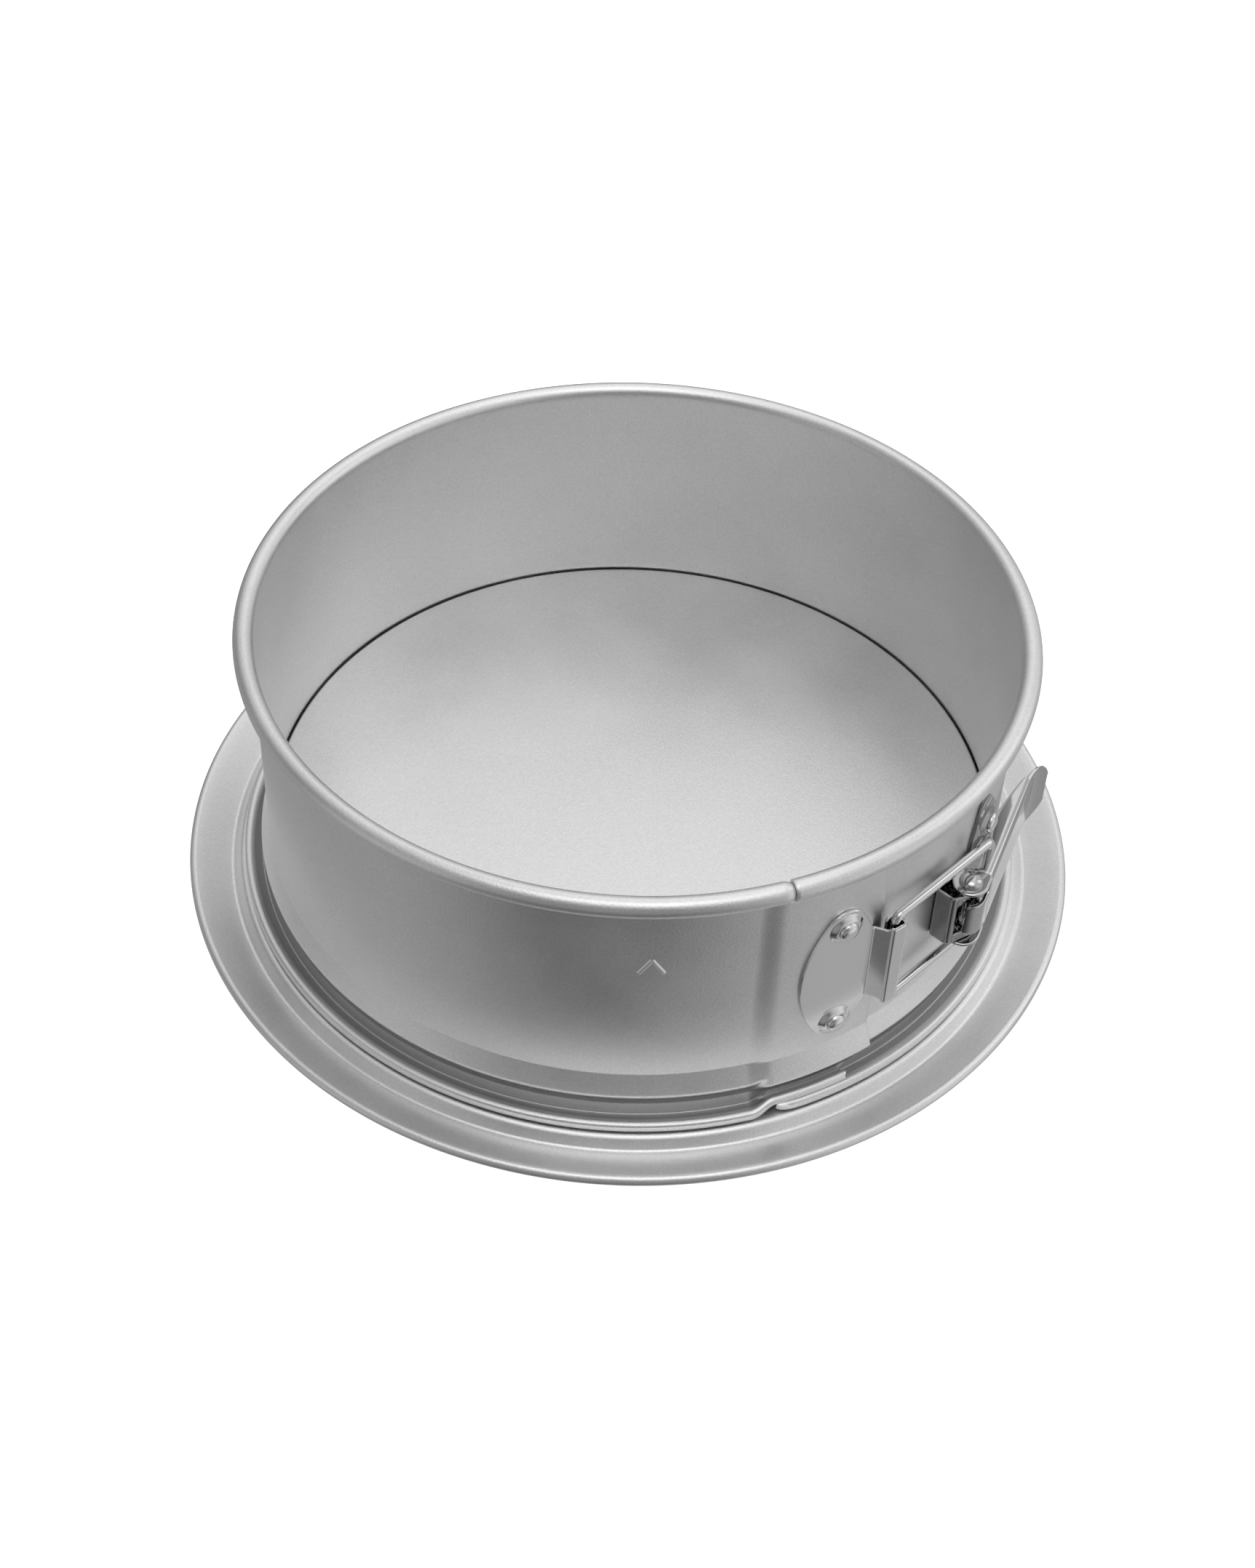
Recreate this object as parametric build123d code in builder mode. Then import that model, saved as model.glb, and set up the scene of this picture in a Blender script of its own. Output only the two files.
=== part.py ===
"""Springform cake pan, nine inches across and three inches deep, in millimetres.

The pan stands on z = 0 with its axis on Z. The latch faces -Y: the wire link is hinged on the
left end of the band and the lever on the right end. Azimuths are in degrees, from -Y towards +X.
The band is one springy strip on the real pan. It is made here as two halves that meet at the back.
"""

import os
from math import atan2, cos, degrees, hypot, radians, sin

from build123d import *

# Band: the rolled aluminium side ring
INNER_RADIUS = 114.3  # nine inches across inside
BAND_SHEET = 1.0
BAND_TOP_Z = 93.4  # centre of the rolled rim
RIM_CURL_RADIUS = 2.6  # to the middle of the sheet
BAND_GAP = 0.3  # between the two sheets where they lap
BACK_GAP_DEG = 0.05  # half of the slit between the halves at the back
SEAM_AZ = -25.8  # the left half steps outwards here
SEAM_GAP_DEG = 0.1
JOGGLE_DEG = 1.1
TAB_END_AZ = -10.0  # end of the lapping tab of the left half
TAB_TOP_Z = 88.5

# Base: a dished plate with a raised floor and a rolled brim
FLOOR_Z = 20.2
FLOOR_RADIUS = 113.9
BASE_SHEET = 1.0
BRIM_CURL_CENTRE = (139.8, 4.0)
BRIM_CURL_RADIUS = 1.2  # to the middle of the sheet

# Latch
LATCH_Z = 51.0  # mid-height of every latch piece
STEEL = 1.0
LINK_PIVOT = (-19.0, -118.4)
LEVER_PIVOT = (11.9, -121.7)
HOOK_PIVOT = (23.7, -118.9)
WIRE_RADIUS = 1.4
WIRE_BEND = 2.2
LINK_HALF = 17.3  # from mid-height to the middle of a wire run
RUN_CLEARANCE = 0.08
BARREL_RADIUS = 2.8
LINK_BARREL_HALF = 15.2
LINK_FLANGE_HALF = 14.0
PIN_RADIUS = 1.6
PIN_HEAD_RADIUS = 3.5
PIN_HEAD_HEIGHT = 2.3

# Half-moon bracket plates: a straight edge, a round cap at each end and a belly
MOON_EDGE_HALF = 14.5
LINK_PLATE_AZ = -11.9  # straight edge of the left plate
LINK_PLATE_WIDTH = 22.0
LINK_CAP = (9.7, 19.4)  # centre of the cap, from the straight edge and from mid-height
LINK_CAP_RADIUS = 6.5
LINK_RIVET_HALF = 19.4  # from mid-height to a rivet
LEVER_PLATE_AZ = 10.4  # straight edge of the right plate
LEVER_PLATE_WIDTH = 20.5
LEVER_CAP = (6.2, 25.0)
LEVER_CAP_RADIUS = 3.6
LEVER_RIVET_HALF = 16.0
RIVET_INSET = 9.7
RIVET_SHANK = 1.5
RIVET_HEAD = 2.9
RIVET_DOME = 1.6
DIMPLE_RADIUS = 5.2
DIMPLE_TOP_RADIUS = 3.4
DIMPLE_HEIGHT = 1.2
PLATE_GAP = 0.05
PEEP_HOLE = (6.1, 24.0)  # in the right plate, from its straight edge and from mid-height
PEEP_HOLE_RADIUS = 1.0
LEVER_NECK_HALF = 9.3
LEVER_NECK_X = 4.2  # where the neck of the right bracket turns outwards
KNUCKLE_WINDOW_HALF = 6.2

# Lever
LEVER_HALF = 11.0
LEVER_SHEET = 1.1
NOSE_RADIUS = 5.3
TONGUE_HALF = 5.8
TONGUE_END_DEG = -150.0
LEVER_ANGLE = 22.0  # direction of the closed lever, from +X
WEB_LENGTH = 50.0  # straight length of the web from abreast of its pivot
FLARE_RADIUS = 14.0
FLARE_DEG = 40.0
NOTCH_LENGTH = 4.7
TIP_CORNER = 7.0
LEVER_WALL_RADIUS = 117.0  # the free edges of the flanges keep outside this
HOOK_HOLE = 1.7


def radial(azimuth, radius):
    """Plan position at an azimuth and a radius."""
    return (radius * sin(radians(azimuth)), -radius * cos(radians(azimuth)))


def section_plane(azimuth):
    """Upright plane through the axis: its x is radius and its y is height."""
    return Plane(
        origin=(0, 0, 0),
        x_dir=(sin(radians(azimuth)), -cos(radians(azimuth)), 0),
        z_dir=(-cos(radians(azimuth)), -sin(radians(azimuth)), 0),
    )


def tangent_plane(azimuth, radius, height):
    """Plane that faces outwards at an azimuth: its x runs along the wall and its y is height."""
    x, y = radial(azimuth, radius)
    return Plane(
        origin=(x, y, height),
        x_dir=(cos(radians(azimuth)), sin(radians(azimuth)), 0),
        z_dir=(sin(radians(azimuth)), -cos(radians(azimuth)), 0),
    )


def along(point, angle, distance):
    """A plan point moved by a distance along an angle from +X."""
    return (point[0] + distance * cos(radians(angle)), point[1] + distance * sin(radians(angle)))


def foot_profile(shift):
    """Middle line of the band's foot: the shoulder, the neck and the bead, moved out and up."""
    points = [(0.5, 26.0), (0.5, 19.4), (3.1, 15.6), (2.7, 12.0), (2.8, 9.6), (8.7, 6.7), (9.0, 5.4)]
    return [(INNER_RADIUS + r + shift, z + shift) for r, z in points]


FOOT_FILLETS = [2.0, 0.9, 1.5, 1.2, 0.8]


def tab_foot():
    """The foot's middle line on the lapping tab, which nests on the other half's foot."""
    return foot_profile(BAND_SHEET + BAND_GAP)


def wall_to_rim():
    """Middle line of the wall and its rolled rim, as edges of the current sketch line."""
    middle = INNER_RADIUS + BAND_SHEET / 2
    centre = (middle + RIM_CURL_RADIUS, BAND_TOP_Z)
    Line((middle, 25.9), (middle, BAND_TOP_Z))
    CenterArc(centre, RIM_CURL_RADIUS, 180, -305)


# Base plate
with BuildPart() as base_plate:
    with BuildSketch(section_plane(0)):
        with BuildLine():
            FilletPolyline(
                (0, FLOOR_Z - BASE_SHEET / 2),
                (FLOOR_RADIUS - BASE_SHEET / 2, FLOOR_Z - BASE_SHEET / 2),
                (FLOOR_RADIUS + 1.2, 16.6),
                (FLOOR_RADIUS - 0.6, 14.0),
                (FLOOR_RADIUS - 0.6, 4.0),
                (127.4, 3.4),
                (131.5, 0.5),
                (135.5, 0.5),
                (138.6, 3.9),
                radius=[0.6, 0.9, 0.9, 1.6, 2.5, 2.5, 2.0],
            )
        trace(line_width=BASE_SHEET)
        with BuildLine():
            CenterArc(BRIM_CURL_CENTRE, BRIM_CURL_RADIUS, 180, -300)
        trace(line_width=BASE_SHEET)
    revolve(axis=Axis.Z)
base_plate.part.label = "base_plate"

# Right half of the band, from the seam round the right-hand side to the back
with BuildPart() as side_band_right:
    with BuildSketch(section_plane(SEAM_AZ + SEAM_GAP_DEG)):
        with BuildLine():
            FilletPolyline(*foot_profile(0), radius=FOOT_FILLETS)
        trace(line_width=BAND_SHEET)
        with BuildLine():
            wall_to_rim()
        trace(line_width=BAND_SHEET)
    revolve(axis=Axis.Z, revolution_arc=180 - BACK_GAP_DEG - SEAM_AZ - SEAM_GAP_DEG)
    lever_rivet_az = LEVER_PLATE_AZ + degrees(RIVET_INSET / INNER_RADIUS)
    for side in (-1, 1):
        height = LATCH_Z + side * LEVER_RIVET_HALF
        with BuildSketch(tangent_plane(lever_rivet_az, INNER_RADIUS - 2, height)):
            Circle(RIVET_SHANK)
        extrude(amount=5, mode=Mode.SUBTRACT)
side_band_right.part.label = "side_band_right"

# Left half of the band, from the back to the seam, with the tab that laps over the right half
with BuildPart() as side_band_left:
    with BuildSketch(section_plane(-180 + BACK_GAP_DEG)):
        with BuildLine():
            FilletPolyline(*foot_profile(0), radius=FOOT_FILLETS)
        trace(line_width=BAND_SHEET)
        with BuildLine():
            wall_to_rim()
        trace(line_width=BAND_SHEET)
    revolve(axis=Axis.Z, revolution_arc=180 - BACK_GAP_DEG + SEAM_AZ - SEAM_GAP_DEG)
    with BuildSketch(section_plane(SEAM_AZ - SEAM_GAP_DEG - JOGGLE_DEG)):
        with BuildLine():
            FilletPolyline(*tab_foot(), radius=FOOT_FILLETS)
        trace(line_width=BAND_SHEET)
        with BuildLine():
            tab_middle = INNER_RADIUS + 1.5 * BAND_SHEET + BAND_GAP
            Line((tab_middle, 27), (tab_middle, TAB_TOP_Z))
        trace(line_width=BAND_SHEET)
    revolve(axis=Axis.Z, revolution_arc=TAB_END_AZ - SEAM_AZ + SEAM_GAP_DEG + JOGGLE_DEG)
    with BuildSketch(section_plane(SEAM_AZ - SEAM_GAP_DEG - JOGGLE_DEG)):
        with BuildLine():
            joggle_middle = INNER_RADIUS + BAND_SHEET + BAND_GAP / 2
            Line((joggle_middle, 27), (joggle_middle, TAB_TOP_Z))
        trace(line_width=2 * BAND_SHEET)
    revolve(axis=Axis.Z, revolution_arc=JOGGLE_DEG)
    link_rivet_az = LINK_PLATE_AZ - degrees(RIVET_INSET / INNER_RADIUS)
    for side in (-1, 1):
        height = LATCH_Z + side * LINK_RIVET_HALF
        with BuildSketch(tangent_plane(link_rivet_az, INNER_RADIUS - 1, height)):
            Circle(RIVET_SHANK)
        extrude(amount=5, mode=Mode.SUBTRACT)
side_band_left.part.label = "side_band_left"


def tangent_point(start, centre, radius, side):
    """Where a line from start touches a circle. Side is 1 for the left of the line, -1 for its right."""
    away = hypot(centre[0] - start[0], centre[1] - start[1])
    heading = degrees(atan2(centre[1] - start[1], centre[0] - start[0]))
    spread = degrees(atan2(radius, (away**2 - radius**2) ** 0.5))
    return along(start, heading + side * spread, (away**2 - radius**2) ** 0.5)


def moon_outline(width, cap, cap_radius):
    """Where the upper cap of a half-moon meets the straight edge's end, its own tip and the belly."""
    reach = width - cap_radius
    belly_x = (cap[0] ** 2 + cap[1] ** 2 - reach**2) / (2 * (cap[0] - reach))
    edge_touch = tangent_point((0, MOON_EDGE_HALF), cap, cap_radius, 1)
    edge_angle = degrees(atan2(edge_touch[1] - cap[1], edge_touch[0] - cap[0]))
    belly_angle = degrees(atan2(cap[1], cap[0] - belly_x))
    tip = along(cap, (edge_angle + belly_angle) / 2, cap_radius)
    return edge_touch, tip, along(cap, belly_angle, cap_radius)


def moon_plate(azimuths, radius, direction, rivet_half, width, cap, cap_radius):
    """Half-moon plate that hugs the band, with two raised rivet seats and their holes.

    The azimuths are those of its straight edge and of its rivets. It bulges towards larger
    azimuths when direction is 1.
    """
    edge_azimuth, rivet_azimuth = azimuths
    half_height = cap[1] + cap_radius + 1
    upper = [(direction * u, v) for u, v in moon_outline(width, cap, cap_radius)]
    lower = [(u, -v) for u, v in upper]
    with BuildPart() as plate:
        with BuildSketch(Plane.XY.offset(LATCH_Z - half_height)):
            Circle(radius + STEEL)
            Circle(radius, mode=Mode.SUBTRACT)
        extrude(amount=2 * half_height)
        with BuildSketch(tangent_plane(edge_azimuth, INNER_RADIUS - 8, LATCH_Z)):
            with BuildLine():
                Polyline(lower[0], (0, -MOON_EDGE_HALF), (0, MOON_EDGE_HALF), upper[0])
                ThreePointArc(*upper)
                ThreePointArc(upper[2], (direction * width, 0), lower[2])
                ThreePointArc(*reversed(lower))
            make_face()
        extrude(amount=25, mode=Mode.INTERSECT)
        for side in (-1, 1):
            height = LATCH_Z + side * rivet_half
            with BuildSketch(tangent_plane(rivet_azimuth, radius + STEEL / 2, height)):
                Circle(DIMPLE_RADIUS)
            with BuildSketch(tangent_plane(rivet_azimuth, radius + STEEL + DIMPLE_HEIGHT, height)):
                Circle(DIMPLE_TOP_RADIUS)
            loft()
            with BuildSketch(tangent_plane(rivet_azimuth, radius - 1, height)):
                Circle(RIVET_SHANK)
            extrude(amount=6, mode=Mode.SUBTRACT)
    return plate.part


# Bracket of the wire link, riveted to the tab
LINK_PLATE_RADIUS = INNER_RADIUS + 2 * BAND_SHEET + BAND_GAP + PLATE_GAP
link_plate = moon_plate(
    (LINK_PLATE_AZ, link_rivet_az),
    LINK_PLATE_RADIUS,
    -1,
    LINK_RIVET_HALF,
    LINK_PLATE_WIDTH,
    LINK_CAP,
    LINK_CAP_RADIUS,
)
with BuildPart() as link_bracket:
    add(link_plate)
    link_edge = radial(LINK_PLATE_AZ, LINK_PLATE_RADIUS + STEEL / 2)
    link_touch = tangent_point(link_edge, LINK_PIVOT, BARREL_RADIUS - STEEL / 2, -1)
    with BuildSketch(Plane.XY.offset(LATCH_Z - LINK_FLANGE_HALF)):
        with BuildLine():
            Line(along(link_edge, 180 + LINK_PLATE_AZ, 0.5), link_edge)
            Line(link_edge, link_touch)
        trace(line_width=STEEL)
    extrude(amount=2 * LINK_FLANGE_HALF)
    with BuildSketch(Plane.XY.offset(LATCH_Z - LINK_BARREL_HALF)):
        with Locations(LINK_PIVOT):
            Circle(BARREL_RADIUS)
    extrude(amount=2 * LINK_BARREL_HALF)
    with BuildSketch(Plane.XY.offset(LATCH_Z - LINK_BARREL_HALF)):
        with Locations(LINK_PIVOT):
            Circle(WIRE_RADIUS + RUN_CLEARANCE)
    extrude(amount=2 * LINK_BARREL_HALF, mode=Mode.SUBTRACT)
link_bracket.part.label = "link_bracket"

# Bracket of the lever, riveted to the right half of the band. Its neck passes behind the lever,
# turns outwards and ends in two knuckles round the pin, with a window for the lever's tongue.
LEVER_PLATE_RADIUS = INNER_RADIUS + BAND_SHEET + PLATE_GAP
lever_plate = moon_plate(
    (LEVER_PLATE_AZ, lever_rivet_az),
    LEVER_PLATE_RADIUS,
    1,
    LEVER_RIVET_HALF,
    LEVER_PLATE_WIDTH,
    LEVER_CAP,
    LEVER_CAP_RADIUS,
)
neck_az = degrees(LEVER_NECK_X / LEVER_PLATE_RADIUS)
with BuildPart() as lever_bracket:
    with BuildSketch(section_plane(neck_az)):
        with Locations((LEVER_PLATE_RADIUS + STEEL / 2, LATCH_Z)):
            Rectangle(STEEL, 2 * LEVER_NECK_HALF)
    revolve(axis=Axis.Z, revolution_arc=LEVER_PLATE_AZ - neck_az + 0.2)
    add(lever_plate)
    neck_root = (LEVER_NECK_X, -LEVER_PLATE_RADIUS - 0.3)
    neck_turn = (LEVER_NECK_X, LEVER_PIVOT[1] - 0.2)
    lever_touch = tangent_point(neck_turn, LEVER_PIVOT, BARREL_RADIUS - STEEL / 2, -1)
    with BuildSketch(Plane.XY.offset(LATCH_Z - LEVER_NECK_HALF)):
        with BuildLine():
            FilletPolyline(neck_root, neck_turn, lever_touch, radius=1.4)
        trace(line_width=STEEL)
        with Locations(LEVER_PIVOT):
            Circle(BARREL_RADIUS)
    extrude(amount=2 * LEVER_NECK_HALF)
    with BuildSketch(Plane.XY.offset(LATCH_Z - KNUCKLE_WINDOW_HALF)):
        with Locations(LEVER_PIVOT):
            Circle(NOSE_RADIUS + 0.6)
    extrude(amount=2 * KNUCKLE_WINDOW_HALF, mode=Mode.SUBTRACT)
    with BuildSketch(Plane.XY.offset(LATCH_Z - LEVER_NECK_HALF)):
        with Locations(LEVER_PIVOT):
            Circle(PIN_RADIUS + RUN_CLEARANCE)
    extrude(amount=2 * LEVER_NECK_HALF, mode=Mode.SUBTRACT)
    peep_az = LEVER_PLATE_AZ + degrees(PEEP_HOLE[0] / INNER_RADIUS)
    with BuildSketch(tangent_plane(peep_az, INNER_RADIUS, LATCH_Z + PEEP_HOLE[1])):
        Circle(PEEP_HOLE_RADIUS)
    extrude(amount=5, mode=Mode.SUBTRACT)
lever_bracket.part.label = "lever_bracket"


def rivet(azimuth, inner, seat, height):
    """A flush rivet with a domed head, from the inside of its sheet to its seat and beyond."""
    plane = tangent_plane(azimuth, inner, height)
    with BuildPart() as made:
        with BuildSketch(plane):
            Circle(RIVET_SHANK - 0.02)
        extrude(amount=seat - inner)
        with BuildSketch(tangent_plane(azimuth, seat, height)):
            Circle(RIVET_HEAD)
        extrude(amount=RIVET_DOME)
        head_rim = made.edges().filter_by(GeomType.CIRCLE).sort_by(Axis(plane.origin, plane.z_dir))[-1]
        fillet(head_rim, RIVET_DOME * 0.9)
    return made.part


tab_inner = INNER_RADIUS + BAND_SHEET + BAND_GAP
rivet_sets = {
    "link_bracket_rivet": (link_rivet_az, tab_inner, LINK_PLATE_RADIUS, LINK_RIVET_HALF),
    "lever_bracket_rivet": (lever_rivet_az, INNER_RADIUS, LEVER_PLATE_RADIUS, LEVER_RIVET_HALF),
}
rivets = {}
for name, (azimuth, inner, plate_radius, half_spacing) in rivet_sets.items():
    for end, side in (("bottom", -1), ("top", 1)):
        seat = plate_radius + STEEL + DIMPLE_HEIGHT
        made = rivet(azimuth, inner, seat, LATCH_Z + side * half_spacing)
        made.label = f"{name}_{end}"
        rivets[made.label] = made

# Wire link: a closed-ended loop that turns in the left bracket and hooks the lever
link_heading = degrees(atan2(HOOK_PIVOT[1] - LINK_PIVOT[1], HOOK_PIVOT[0] - LINK_PIVOT[0]))
link_length = hypot(HOOK_PIVOT[0] - LINK_PIVOT[0], HOOK_PIVOT[1] - LINK_PIVOT[1])
link_plane = Plane(
    origin=(*LINK_PIVOT, LATCH_Z),
    x_dir=(cos(radians(link_heading)), sin(radians(link_heading)), 0),
    z_dir=(sin(radians(link_heading)), -cos(radians(link_heading)), 0),
)
HOOK_END = LEVER_HALF + 0.35  # the hooks stop just clear of the lever's flanges
with BuildPart() as wire_link:
    with BuildLine(link_plane):
        FilletPolyline(
            (link_length, HOOK_END),
            (link_length, LINK_HALF),
            (0, LINK_HALF),
            (0, -LINK_HALF),
            (link_length, -LINK_HALF),
            (link_length, -HOOK_END),
            radius=WIRE_BEND,
        )
    with BuildSketch(Plane(origin=(*HOOK_PIVOT, LATCH_Z + HOOK_END), z_dir=(0, 0, 1))):
        Circle(WIRE_RADIUS)
    sweep()
wire_link.part.label = "wire_link"

# Lever: a pressed channel, open towards the pan, with a round nose and a flared tip
abreast = along(LEVER_PIVOT, LEVER_ANGLE - 90, NOSE_RADIUS - LEVER_SHEET / 2)
web_end = along(abreast, LEVER_ANGLE, WEB_LENGTH)
flare_centre = along(web_end, LEVER_ANGLE - 90, FLARE_RADIUS)
tip = along(flare_centre, LEVER_ANGLE + 90 - FLARE_DEG, FLARE_RADIUS)
notch_point = along(abreast, LEVER_ANGLE, NOTCH_LENGTH)
with BuildPart() as lever:
    with BuildSketch(Plane.XY.offset(LATCH_Z - LEVER_HALF)):
        with BuildLine():
            Line(notch_point, web_end)
            CenterArc(flare_centre, FLARE_RADIUS, LEVER_ANGLE + 90, -FLARE_DEG)
        trace(line_width=LEVER_SHEET)
    extrude(amount=2 * LEVER_HALF)
    with BuildSketch(Plane.XY.offset(LATCH_Z - TONGUE_HALF)):
        with BuildLine():
            CenterArc(
                LEVER_PIVOT,
                NOSE_RADIUS - LEVER_SHEET / 2,
                TONGUE_END_DEG,
                LEVER_ANGLE - 90 - TONGUE_END_DEG,
            )
            Line(abreast, along(notch_point, LEVER_ANGLE, 1))
        trace(line_width=LEVER_SHEET)
    extrude(amount=2 * TONGUE_HALF)
    for low in (LATCH_Z - LEVER_HALF, LATCH_Z + LEVER_HALF - LEVER_SHEET):
        with BuildSketch(Plane.XY.offset(low)):
            with Locations(LEVER_PIVOT):
                Circle(NOSE_RADIUS)
            with BuildLine():
                Polyline(
                    along(LEVER_PIVOT, LEVER_ANGLE - 90, NOSE_RADIUS),
                    along(web_end, LEVER_ANGLE - 90, LEVER_SHEET / 2),
                    along(web_end, LEVER_ANGLE, 5),
                    along(web_end, LEVER_ANGLE + 90, 2.2),
                    along(web_end, LEVER_ANGLE + 135, 10),
                    along(LEVER_PIVOT, LEVER_ANGLE, 12),
                    along(LEVER_PIVOT, LEVER_ANGLE + 90, NOSE_RADIUS),
                    close=True,
                )
            make_face()
            Circle(LEVER_WALL_RADIUS, mode=Mode.SUBTRACT)
            with Locations(LEVER_PIVOT):
                Circle(PIN_RADIUS + RUN_CLEARANCE, mode=Mode.SUBTRACT)
            with Locations(HOOK_PIVOT):
                Circle(HOOK_HOLE, mode=Mode.SUBTRACT)
        extrude(amount=LEVER_SHEET)
    with BuildSketch(Plane.XZ.offset(tip[1] * -1 - 40)):
        with Locations((tip[0] / 2, LATCH_Z)):
            RectangleRounded(tip[0] + 2, 2 * LEVER_HALF, TIP_CORNER)
        with Locations((0, LATCH_Z)):
            Rectangle(tip[0], 2 * LEVER_HALF)
    extrude(amount=80, mode=Mode.INTERSECT)
lever.part.label = "lever"

# Pin of the lever, headed over both flanges
with BuildPart() as pivot_pin:
    with BuildSketch(Plane.XY.offset(LATCH_Z - LEVER_HALF)):
        with Locations(LEVER_PIVOT):
            Circle(PIN_RADIUS)
    extrude(amount=2 * LEVER_HALF)
    for plane in (
        Plane.XY.offset(LATCH_Z + LEVER_HALF),
        Plane(origin=(0, 0, LATCH_Z - LEVER_HALF), x_dir=(1, 0, 0), z_dir=(0, 0, -1)),
    ):
        with BuildSketch(plane):
            with Locations(plane.to_local_coords(Vector(*LEVER_PIVOT, plane.origin.Z))):
                Circle(PIN_HEAD_RADIUS)
        extrude(amount=PIN_HEAD_HEIGHT)
    head_rims = pivot_pin.edges().filter_by(GeomType.CIRCLE).sort_by(Axis.Z)
    fillet([head_rims[0], head_rims[-1]], PIN_HEAD_HEIGHT * 0.9)
pivot_pin.part.label = "pivot_pin"

os.makedirs("parts", exist_ok=True)
finished = (
    base_plate,
    side_band_right,
    side_band_left,
    link_bracket,
    lever_bracket,
    wire_link,
    lever,
    pivot_pin,
)
for piece in finished:
    export_step(piece.part, f"parts/{piece.part.label}.step")
for label, made in rivets.items():
    export_step(made, f"parts/{label}.step")
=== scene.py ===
"""Looks of a springform cake pan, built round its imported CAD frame. Lengths in the code are
millimetres until a mesh is made. Azimuths are in degrees from -Y towards +X, as in the CAD."""

from math import atan2, cos, degrees, hypot, pi, radians, sin, sqrt

import bpy
import numpy as np
from mathutils import Matrix, Vector


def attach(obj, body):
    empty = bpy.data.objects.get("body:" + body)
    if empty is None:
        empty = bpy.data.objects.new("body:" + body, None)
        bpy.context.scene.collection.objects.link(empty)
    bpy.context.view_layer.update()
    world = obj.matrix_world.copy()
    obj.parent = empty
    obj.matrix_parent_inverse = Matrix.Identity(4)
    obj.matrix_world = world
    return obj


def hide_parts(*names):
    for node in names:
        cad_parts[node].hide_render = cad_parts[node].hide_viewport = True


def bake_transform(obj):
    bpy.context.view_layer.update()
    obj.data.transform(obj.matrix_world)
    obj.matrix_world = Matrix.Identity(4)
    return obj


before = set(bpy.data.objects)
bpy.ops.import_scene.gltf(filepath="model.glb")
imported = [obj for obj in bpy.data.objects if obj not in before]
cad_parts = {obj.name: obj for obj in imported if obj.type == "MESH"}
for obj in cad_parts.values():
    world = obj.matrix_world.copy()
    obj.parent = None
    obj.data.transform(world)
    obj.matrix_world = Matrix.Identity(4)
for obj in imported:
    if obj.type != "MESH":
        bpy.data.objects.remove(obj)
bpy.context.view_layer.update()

MM = 0.001
LATCH_Z = 51.0
INNER_RADIUS = 114.3
SEAM_AZ = -25.8
TAB_END_AZ = -10.0
SHEET = 1.0
LAP = 1.3
LINK_PIVOT = np.array((-19.0, -118.4))
LEVER_PIVOT = np.array((11.9, -121.7))
HOOK_PIVOT = np.array((23.7, -118.9))
LEVER_ANGLE = 22.0


# ---------------------------------------------------------------- shapes
def step(x):
    """Smooth step of a number or array from 0 at 0 to 1 at 1."""
    x = np.clip(x, 0.0, 1.0)
    return x * x * (3 - 2 * x)


def polar(radius, azimuth, z):
    """Point at a radius, an azimuth and a height."""
    a = radians(azimuth)
    return (radius * sin(a), -radius * cos(a), z)


def rounded(points, radii, spacing):
    """A line through points with its inner corners rounded, sampled about every spacing."""
    points = [np.array(p, float) for p in points]
    path = [points[0]]
    for i in range(1, len(points) - 1):
        a, b, c = points[i - 1], points[i], points[i + 1]
        u, v = (a - b) / np.linalg.norm(a - b), (c - b) / np.linalg.norm(c - b)
        half = np.arccos(np.clip(u @ v, -1, 1)) / 2
        reach = radii[i - 1] / np.tan(half)
        middle = (u + v) / np.linalg.norm(u + v)
        centre = b + middle * radii[i - 1] / np.sin(half)
        start, end = b + u * reach, b + v * reach
        count = max(5, int(np.degrees(np.pi - 2 * half) / 9))
        for k in range(count + 1):
            t = k / count
            ray = (1 - t) * (start - centre) + t * (end - centre)
            path.append(centre + ray / np.linalg.norm(ray) * radii[i - 1])
    path.append(points[-1])
    out = [path[0]]
    for p in path[1:]:
        gap = np.linalg.norm(p - out[-1])
        if gap < 1e-6:
            continue
        pieces = max(1, int(gap / spacing))
        last = out[-1]
        out += [last + (p - last) * k / pieces for k in range(1, pieces + 1)]
    return np.array(out)


def arc(centre, radius, start, sweep, count):
    """Points of a circular arc, in degrees."""
    angles = np.radians(np.linspace(start, start + sweep, count + 1))
    return np.stack([centre[0] + radius * np.cos(angles), centre[1] + radius * np.sin(angles)], -1)


def new_object(name, points, faces, sharp=38.0):
    """A smooth-shaded mesh object from points in millimetres."""
    mesh = bpy.data.meshes.new(name)
    mesh.from_pydata([tuple(p * MM for p in q) for q in points], [], faces)
    mesh.validate()
    mesh.polygons.foreach_set("use_smooth", [True] * len(mesh.polygons))
    mesh.set_sharp_from_angle(angle=radians(sharp))
    made = bpy.data.objects.new(name, mesh)
    bpy.context.scene.collection.objects.link(made)
    return made


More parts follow.
